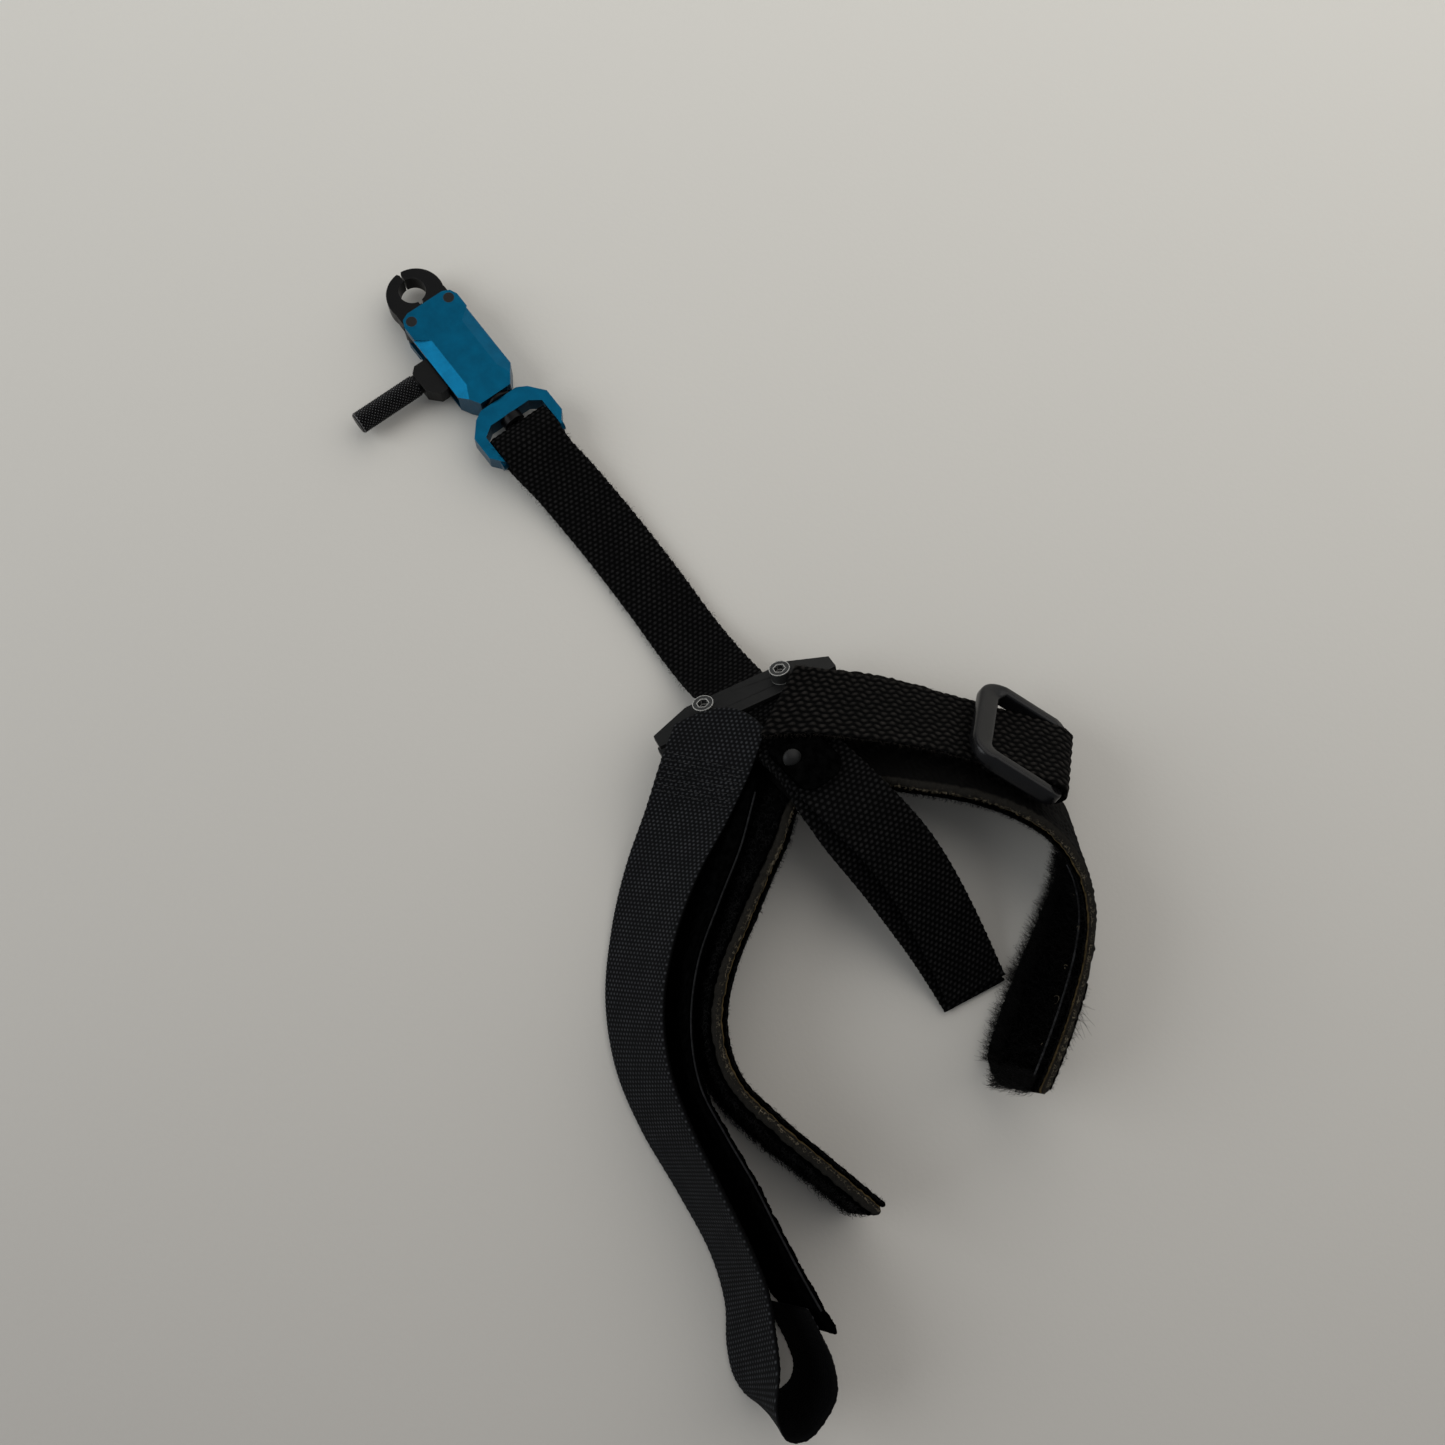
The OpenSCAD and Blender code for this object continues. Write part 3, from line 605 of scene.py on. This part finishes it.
loop_low = rail((-160.5, 18.5, 8), (-167, 26.5, 6.4), (-175, 36, 4.4), (-188, 50.5, 2), (-202, 64, 1),
                (-216, 74.5, 1), (-231, 81.5, 1), (-244, 84.3, 1), (-256, 85.5, 1), (-268, 86.5, 1),
                (-282, 87.4, 1), (-295, 87.8, 1))
loop_high = rail((-179, 11.5, 26.6), (-183.5, 17, 26), (-189.5, 24.5, 25), (-197, 38, 24.4),
                 (-205.5, 52, 24.6), (-217, 63.5, 25), (-230, 70.5, 25.4), (-243, 72.8, 25),
                 (-256, 74.4, 25), (-268, 76.8, 25), (-282, 79.4, 24.6), (-296, 81.4, 24.2))
tab_low = rail((-172, -7, 27.4), (-177, -7, 29.8), (-183.4, -7.2, 31.6), (-189.5, -7.4, 32.6))
tab_high = tab_low + np.array((0, 10, 0.8)) * MM
buckle_low = rail((-158.5, -15.5, 22.5), (-164, -22, 20), (-175, -33, 17.2), (-188, -44.5, 15.6),
                  (-200, -53.6, 15.4), (-210.2, -60.8, 15.9))
buckle_high = rail((-168.5, 4.5, 30.6), (-176, -3, 32.6), (-189, -15.5, 32.8), (-201, -28, 31.6),
                   (-212, -37, 31), (-221.2, -44.1, 31.6))


# Pieces -----------------------------------------------------------------------

def on_cad(names, made, bevel):
    """Gives CAD nodes their material, and soft edges."""
    for name in names:
        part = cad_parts[name]
        if part.material_slots:
            part.material_slots[0].material = made
        else:
            part.data.materials.append(made)
        weld = part.modifiers.new("weld", "WELD")
        weld.merge_threshold = 0.002 * MM
        soft = part.modifiers.new("soft_edges", "BEVEL")
        soft.width = bevel
        soft.segments = 3
        soft.limit_method = "ANGLE"
        soft.angle_limit = math.radians(32)
        soft.use_clamp_overlap = True
        part.modifiers.new("even_normals", "WEIGHTED_NORMAL").keep_sharp = True


def double_rails(low, high, fold_low, fold_high):
    """Rails of webbing that runs up one side of a band's layers, through a fold and down the other side."""
    band = Band(low, high)
    s = band.s[np.arange(0, len(band.s), 14)]
    sides = []
    for rails in (0, 1):
        sides.append([band.at(s, rails, sign * LAYER) for sign in (1, -1)])
    return (np.concatenate([sides[0][0][::-1], fold_low, sides[0][1]]),
            np.concatenate([sides[1][0][::-1], fold_high, sides[1][1]]))


def front_strap(made):
    """The connector: webbing folded round the strap loop's rear bar, its two layers lying together."""
    width = 19 * MM
    r = 3.4 * MM
    angles = np.radians([-128, -90, -55, -20, 20, 55, 90, 128])
    forward = np.where(np.cos(angles) > 0, 6.5 * MM, r)
    arc = np.stack([-58 * MM + forward * np.cos(angles), 0 * angles, r * np.sin(angles)], -1)
    neck = np.array([(-64.5, 0, -1.25), (-64.5, 0, 1.25)]) * MM
    fold = np.concatenate([neck[:1], arc, neck[1:]])
    low, high = double_rails(connector_low, connector_high, fold + (0, -9.5 * MM, 0), fold + (0, 0.5 * MM, 0))
    band = Band(low, high, width)
    piece = strap("connector_strap", band, made, WEB, WEBBING_WEAVE, 0.22 * MM, 72)
    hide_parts("connector_fold", "connector_webbing", "connector_grip")
    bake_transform(piece)
    return band


def tail_strap(made):
    """The connector's free end: two layers behind the clamp that slide apart sideways, cut off askew."""
    stations = [182, 190, 197, 205, 220, 230, 258]
    spread = {1: ([0, 2.4, 4.0, 4.5, 3.6, 2.6, 0.8], 5.2), -1: ([0, 0, 0, -0.4, -1.7, -1.4, 0.3], 6.4)}
    for sign, (shift, skew) in spread.items():
        shift = np.interp(-tail_low[:, 0] / MM, stations, shift)[:, None] * MM
        aside = unit(tail_high - tail_low) * shift
        sink = np.array((0, 0, 0.35)) * np.maximum(shift, 0)
        band = Band(tail_low + aside - 0.3 * sink, tail_high + aside - sink, 19 * MM)

        def cut(x):
            return skew * x / 19 + (1.2 * MM if sign < 0 else 0)
        piece = strap(f"connector_tail_{'lower' if sign > 0 else 'upper'}", band, made, WEB, WEBBING_WEAVE,
                      0.22 * MM, 72, offset=sign * LAYER, end=cut)
        if sign > 0:
            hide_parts("tail_root", "connector_tail")
        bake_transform(piece)


def tongue(made, thread):
    """The long closing strap: from over the clamp's left end, round and back on itself."""
    band = Band(tongue_low, tongue_high, 25.4 * MM)
    half = 12.7 * MM

    def rounded(x):
        return 4.2 * MM * (((x - half) / half) ** 2 * 1.35 - 1)
    piece = strap("tongue_strap_cloth", band, made, WEB, ribs(1.1 * MM, 0.17 * MM, 1.35 * MM, share=0.8),
                  0.18 * MM, 84, start=rounded)
    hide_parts("tongue_root", "tongue_strap")
    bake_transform(piece)
    sewn = []
    for s in np.arange(11, 22, 1.75) * MM:
        for x in np.arange(1.2, 23.4, 1.9) * MM:
            ends = band.at(s + (x - half) * 0.12, (np.array((x, x + 1.55 * MM))) / (25.4 * MM), 0.86 * MM)
            sewn.append((ends[0], ends[1], band.pick(band.out, s)))
    seam = stitches("tongue_stitches", sewn, 0.2 * MM, thread)
    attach(seam, "cuff")


def loop_strap(made, painted_highlight_line):
    """The strap of loop pile that the tongue presses on; a pale line along its upper edge is a painted
    highlight.
    """
    band = Band(loop_low, loop_high, 25.4 * MM)

    def pointed(x):
        return 3.5 * MM * (1 - x / (25.4 * MM))
    piece = strap("loop_strap_cloth", band, made, 1.8 * MM, grain_relief(0.16 * MM, 2600, 3), 0.35 * MM, 60,
                  end=pointed)
    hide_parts("loop_strap")
    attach(piece, "cuff")
    # Painted highlight: a pale tube along the upper edge stands for the light caught on it.
    s = np.linspace(4 * MM, band.length - 6 * MM, 160)
    line = tubes("loop_strap_painted_edge_line", band.at(s, 0.995, 0.5 * MM)[None], 0.3 * MM, painted_highlight_line, sides=6)
    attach(line, "cuff")


def cuff(leather, plush, pile, piping):
    """The wrist cuff: a leather core, a plush lining and a pile facing, which stops short at the clamp."""
    band = Band(pad_low, pad_high)

    def foot(x):
        return 6.5 * MM * np.clip(1 - x / (16 * MM), 0, 1) ** 2.2
    core = strap("cuff_core", band, leather, 2.9 * MM, grain_relief(0.17 * MM, 1900, 5), 0.4 * MM, 70,
                 offset=-0.65 * MM, end=foot, corner=6, reach=12 * MM)
    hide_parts("cuff_leather")
    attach(core, "cuff")
    lining = strap("cuff_plush", band, plush, 1.3 * MM, grain_relief(0.13 * MM, 3000, 7), 0.4 * MM, 80,
                   offset=1.4 * MM, end=foot, reach=12 * MM)
    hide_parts("cuff_lining")
    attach(lining, "cuff")
    margin = unit(pad_high - pad_low) * 1.1 * MM
    inset = Band(pad_low + margin, pad_high - margin)
    left = (1.5 * MM, inset.nearest(-166, 13))
    right = (inset.nearest(-258, -19), inset.length - 1.5 * MM)
    for name, span in (("left", left), ("right", right)):
        facing = strap("cuff_facing_" + name, inset, pile, 0.9 * MM, grain_relief(0.12 * MM, 3200, 11),
                       0.4 * MM, 70, offset=-2.4 * MM, span=span, end=foot if name == "right" else no_trim,
                       reach=12 * MM)
        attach(facing, "cuff")
    s = np.linspace(band.nearest(-240, -45), band.length - 4 * MM, 90)
    cord = tubes("cuff_piping", band.at(s, 0.9, 2.2 * MM)[None], 0.35 * MM, piping, sides=8)
    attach(cord, "cuff")
    return band, inset, left, right


def buckle_strap(made):
    """Coarse webbing that runs to the ring, round its bar and back underneath."""
    place = Matrix.Translation(RING_BAR) @ RING_TURN
    r = 2.85 * MM
    angles = np.radians([75, 40, 0, -40, -80])
    profile = [(r * math.cos(a), r * math.sin(a)) for a in angles]
    profile += [(-6 * MM, -2.4 * MM), (-13 * MM, -0.2 * MM), (-20 * MM, 0.6 * MM)]
    half = 12.7 * MM
    low = np.array([place @ Vector((x, half, z)) for x, z in profile])
    high = np.array([place @ Vector((x, -half, z)) for x, z in profile])
    band = Band(np.concatenate([buckle_low[:5], low]), np.concatenate([buckle_high[:5], high]), 25.4 * MM)
    relief = cords(2.5 * MM, 0.5 * MM, 1.95 * MM, 0.35 * MM, 5 * MM)
    piece = strap("buckle_strap", band, made, WEB, relief, 0.24 * MM, 60)
    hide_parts("buckle_webbing", "buckle_fold")
    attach(piece, "cuff")
    return band


def tab(made):
    """The leather tab under the rivet."""
    band = Band(tab_low, tab_high, 14 * MM)

    def rounded(x):
        return 3.5 * MM * ((x - 7 * MM) / (7 * MM)) ** 4
    piece = strap("rivet_tab_leather", band, made, 1.2 * MM, grain_relief(0.05 * MM, 1800, 9), 0.3 * MM, 30,
                  start=rounded, end=rounded, reach=4 * MM)
    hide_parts("rivet_tab")
    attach(piece, "cuff")


def knurled_post(made, worn):
    """The trigger post: two crossed sets of grooves cut a diamond knurl, and its end is worn bare."""
    x, y0, y1, r = -23.9 * MM, 15.1 * MM, 36.1 * MM, 3.25 * MM
    teeth_round, pitch, deepest = 17, 1.1 * MM, 0.42 * MM
    start = y0 + 0.75 * MM
    y = np.concatenate([[y0, y0 + 0.05 * MM, y0 + 0.7 * MM], np.linspace(y0 + 0.8 * MM, y1 - 0.45 * MM, 150),
                        [y1 - 0.3 * MM, y1 - 0.1 * MM, y1]])
    plain = np.interp(y, [y0, y0 + 0.05 * MM, y0 + 0.7 * MM, y0 + 0.8 * MM, y1 - 0.45 * MM, y1],
                      [2.8 * MM, 2.9 * MM, 2.9 * MM, r, r, r - 0.5 * MM])
    a = (np.arange(144) + 0.5) / 144 * 2 * PI
    helix = (y[:, None] - y0) / pitch
    teeth = teeth_round * a / (2 * PI)
    groove = [1 - np.abs(2 * ((teeth + sign * helix) % 1) - 1) for sign in (1, -1)]
    cut = deepest * (1 - np.minimum(*[np.clip(g * 1.25, 0, 1) for g in groove]))
    cut = cut * np.clip((y1 - 0.4 * MM - y[:, None]) / (0.3 * MM), 0, 1) * (y[:, None] > start)
    radius = plain[:, None] - cut
    rings = np.stack([x + radius * np.cos(a), y[:, None] + 0 * radius, radius * np.sin(a)], -1)
    crown = np.where(y[:, None] < start, -deepest, -cut)
    piece = skin("trigger_post_knurled", rings, made, crown=crown)
    piece.data.materials.append(worn)
    for face in piece.data.polygons:
        if face.center.y > y1 - 0.35 * MM:
            face.material_index = 1
    sharpen(piece, 40)
    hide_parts("trigger_post")
    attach(piece, "trigger")


def sharpen(piece, angle):
    """Keeps edges over this angle crisp."""
    piece.data.set_sharp_from_angle(angle=math.radians(angle))


def ring_piece(made):
    """The moulded ring: a rounded frame with a broad flat free bar and a slim bar for the webbing."""
    lift = Matrix.Rotation(math.radians(16), 4, "Y")
    place = Matrix.Translation(RING_BAR) @ RING_TURN @ lift
    x0, x1, half, r = -23.5 * MM, 0.0, 14.75 * MM, 5.2 * MM
    corners = [(x0 + r, half - r, 90), (x0 + r, r - half, 180), (x1 - 2 * MM, -half + 2 * MM, 270),
               (x1 - 2 * MM, half - 2 * MM, 360)]
    path = []
    for k, (cx, cy, first) in enumerate(corners):
        radius = r if k < 2 else 2 * MM
        for a in np.radians(np.linspace(first, first + 90, 10)):
            path.append((cx + radius * math.cos(a), cy + radius * math.sin(a)))
    path = np.array(path)
    path = np.concatenate([path, path[:1]])
    distance = np.concatenate([[0], np.cumsum(np.linalg.norm(np.diff(path, axis=0), axis=1))])
    even = np.linspace(0, distance[-1], 181)[:-1]
    line = np.stack([np.interp(even, distance, path[:, k]) for k in (0, 1)], -1)
    ahead = unit(np.roll(line, -1, axis=0) - np.roll(line, 1, axis=0))
    side = np.stack([ahead[:, 1], -ahead[:, 0]], -1)
    free = np.clip((x0 + 4 * MM - line[:, 0]) / (4 * MM), 0, 1) ** 0.6
    held = np.clip((line[:, 0] - (x1 - 2.5 * MM)) / (2.5 * MM), 0, 1)
    broad = (1.75 + 1.2 * free - 0.05 * held) * MM
    tall = (2.5 - 0.9 * free - 0.8 * held) * MM
    a = (np.arange(28) + 0.5) / 28 * 2 * PI
    power = 0.42
    across = np.sign(np.cos(a)) * np.abs(np.cos(a)) ** power
    upward = np.sign(np.sin(a)) * np.abs(np.sin(a)) ** power
    points = np.zeros((len(line), len(a), 3))
    points[..., :2] = line[:, None] + side[:, None] * (broad[:, None] * across)[..., None]
    points[..., 2] = tall[:, None] * upward
    matrix = np.array(place)
    points = points @ matrix[:3, :3].T + matrix[:3, 3]
    piece = skin("ring_moulded", points, made, closed=True)
    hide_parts("buckle_ring")
    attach(piece, "ring")


def make_floor():
    """The surface that the release lies on, six metres square."""
    size = 3.0
    corners = np.array([(-size, -size, FLOOR), (size, -size, FLOOR), (size, size, FLOOR),
                        (-size, size, FLOOR)])
    floor = mesh_object("floor", corners, [np.array([[0, 1, 2, 3]])], floor_material())


# The object -------------------------------------------------------------------

make_camera()
make_studio()
make_floor()

blue = worn_metal("anodised_blue", (0.0, 0.056, 0.112), (0.02, 0.16, 0.24), 0.9, 0.32, wear=0.35, gloss=0.3)
black = worn_metal("black_steel", (0.0016, 0.0016, 0.0018), (0.04, 0.04, 0.04), 0.0, 0.34, gloss=0.1)
lever = worn_metal("worn_black_steel", (0.0022, 0.0022, 0.0021), (0.035, 0.034, 0.032), 0.0, 0.4, gloss=0.12)
plate = worn_metal("painted_plate", (0.0050, 0.0050, 0.0048), (0.06, 0.058, 0.054), 0.0, 0.45, gloss=0.2)
screw = worn_metal("worn_screw", (0.022, 0.022, 0.021), (0.62, 0.61, 0.57), 0.3, 0.36, wear=1.4, rim=0.6 * MM,
                   scuffed=(0.15, 0.4))
steel = worn_metal("steel", (0.32, 0.32, 0.33), (0.6, 0.6, 0.6), 1.0, 0.3)
bronze = worn_metal("bronze", (0.30, 0.21, 0.10), (0.5, 0.38, 0.2), 1.0, 0.35)
knurl = knurl_material()
# Fabrics: each groove colour is painted shade and each crown colour is painted light.
webbing = fabric("webbing", (0.0002, 0.0002, 0.0002), (0.0080, 0.0077, 0.0080), (0.036, 0.035, 0.033),
                 0.3 * MM, 0.05 * MM)
coarse = fabric("coarse_webbing", (0.0002, 0.0002, 0.0002), (0.0115, 0.0105, 0.0096), (0.046, 0.041, 0.036),
                0.4 * MM, 0.07 * MM)
hook = fabric("hook_strap", (0.004, 0.0041, 0.0044), (0.034, 0.0352, 0.038), (0.066, 0.068, 0.073), 0.3 * MM,
              0.04 * MM, back=(0.0008, 0.0008, 0.0009))
pile = pile_material("loop_pile", (0.0006, 0.0006, 0.0006), (0.0025, 0.0025, 0.0025))
plush = pile_material("plush", (0.0003, 0.0003, 0.0003), (0.0012, 0.0011, 0.0011))
black_hair = fibre_material("black_fibre", (0.0005, 0.0005, 0.0005), (0.0035, 0.0032, 0.003))
brown_hair = fibre_material("brown_fibre", (0.004, 0.0035, 0.003), (0.03, 0.025, 0.02))
pale_hair = fibre_material("pale_fibre", (0.02, 0.017, 0.012), (0.30, 0.25, 0.17))
thread = fibre_material("grey_thread", (0.008, 0.008, 0.0085), (0.03, 0.03, 0.031))
# Painted highlight along the loop strap's upper edge.
painted_highlight_line = fibre_material("painted_edge_highlight", (0.003, 0.003, 0.0033), (0.011, 0.011, 0.0115))
leather = leather_material()
plastic = plastic_material()

on_cad(["head_body", "strap_loop"], blue, 0.5 * MM)
on_cad(["jaw_left", "jaw_right", "swivel_washer", "swivel_bolt", "travel_screw"], black, 0.25 * MM)
on_cad(["clamp_plate", "clamp_base", "jaw_pins", "rivet"], plate, 0.22 * MM)
on_cad(["trigger_lever"], lever, 0.22 * MM)
on_cad(["clamp_screws"], screw, 0.3 * MM)
on_cad(["jaw_spring", "trigger_spring", "trigger_pin", "sear_roller", "roller_pin", "trigger_stud"], steel,
       0.08 * MM)
on_cad(["swivel_bush"], bronze, 0.1 * MM)

knurled_post(knurl, lever)
connector_band = front_strap(webbing)
tail_strap(webbing)
tongue(hook, thread)
loop_strap(pile, painted_highlight_line)
pad, facing, left, right = cuff(leather, plush, pile, thread)
buckle_band = buckle_strap(coarse)
tab(pile)
ring_piece(plastic)

# Loose fibres: where the cuff's faces lie out of its middle surface, and where parts of the bands begin.
outside, inside = -2.7 * MM, 1.95 * MM
wing = pad.nearest(-246, -43)
bend = connector_band.nearest(-142, 0)
connector_span = sorted((bend, connector_band.length - bend))
fuzz("fuzz_left_loops", facing, black_hair, 21, 2600, left, (0.0, 1.0), outside, 0.9 * MM,
     0.55 * MM, 0.07 * MM, lean=(0, -1, 0), turns=0.9)
fuzz("fuzz_left_foot", facing, black_hair, 22, 900, (2 * MM, 80 * MM), (0.0, 0.25), outside,
     1.5 * MM, 0.75 * MM, 0.07 * MM, lean=(-0.3, -1, 0), turns=0.9)
fuzz("fuzz_right_out", facing, black_hair, 23, 1600, right, (0.3, 1.0), outside, 1.1 * MM,
     0.3 * MM, 0.05 * MM, lean=(0.5, -1, 0), turns=0.5)
fuzz("fuzz_plush_right", pad, black_hair, 24, 3600, (wing, pad.length - 7 * MM), (0.0, 1.0), inside,
     2.2 * MM, 0.4 * MM, 0.045 * MM, lean=(0, 1, 0), turns=0.5)
fuzz("fuzz_plush_foot", pad, black_hair, 25, 3600, (wing, pad.length - 6 * MM), (0.0, 0.3), inside,
     3.0 * MM, 0.6 * MM, 0.045 * MM, lean=(-0.4, 1, 0), turns=0.6)
fuzz("fuzz_plush_end", pad, black_hair, 26, 1600, (pad.length - 6 * MM, pad.length - 0.5 * MM),
     (0.2, 0.95), inside, 2.4 * MM, 0.7 * MM, 0.045 * MM, lean=(-1.2, 0.6, 0.9), turns=0.6)
fuzz("fuzz_lining_top", pad, black_hair, 27, 2200, (0, pad.length), (1.0, 1.0), 1.5 * MM, 0.9 * MM,
     0.35 * MM, 0.05 * MM, lean=(0.6, 0.8, 0), turns=0.6)
fuzz("fuzz_leather_top", pad, pale_hair, 28, 1500, (0, pad.length), (0.997, 1.0), -0.4 * MM,
     0.6 * MM, 0.3 * MM, 0.04 * MM, lean=(0.5, 0.5, 0), turns=0.6)
fuzz("loose_threads", pad, pale_hair, 30, 5, (wing, pad.length), (0.7, 0.92), inside, 1.5 * MM,
     0.7 * MM, 0.13 * MM, turns=0.8)
for edge in (0, 1):
    away = (2 * edge - 1, 0.3, 0)
    fuzz(f"fuzz_buckle_{edge}", buckle_band, brown_hair, 31 + edge, 260, (0, 60 * MM),
         (edge, edge), 0.0, 0.9 * MM, 0.4 * MM, 0.045 * MM, lean=away, turns=0.5)
    fuzz(f"fuzz_connector_{edge}", connector_band, black_hair, 33 + edge, 260, connector_span,
         (edge, edge), 0.0, 0.9 * MM, 0.4 * MM, 0.04 * MM, lean=away, body="connector", turns=0.5)
tuft = (facing.nearest(-270, -21), facing.nearest(-276, -9))
fuzz("hairs_right_out", facing, black_hair, 29, 60, tuft, (0.75, 1.0), outside, 5.0 * MM,
     0.25 * MM, 0.05 * MM, lean=(0.2, -1, 0.4), turns=0.2)
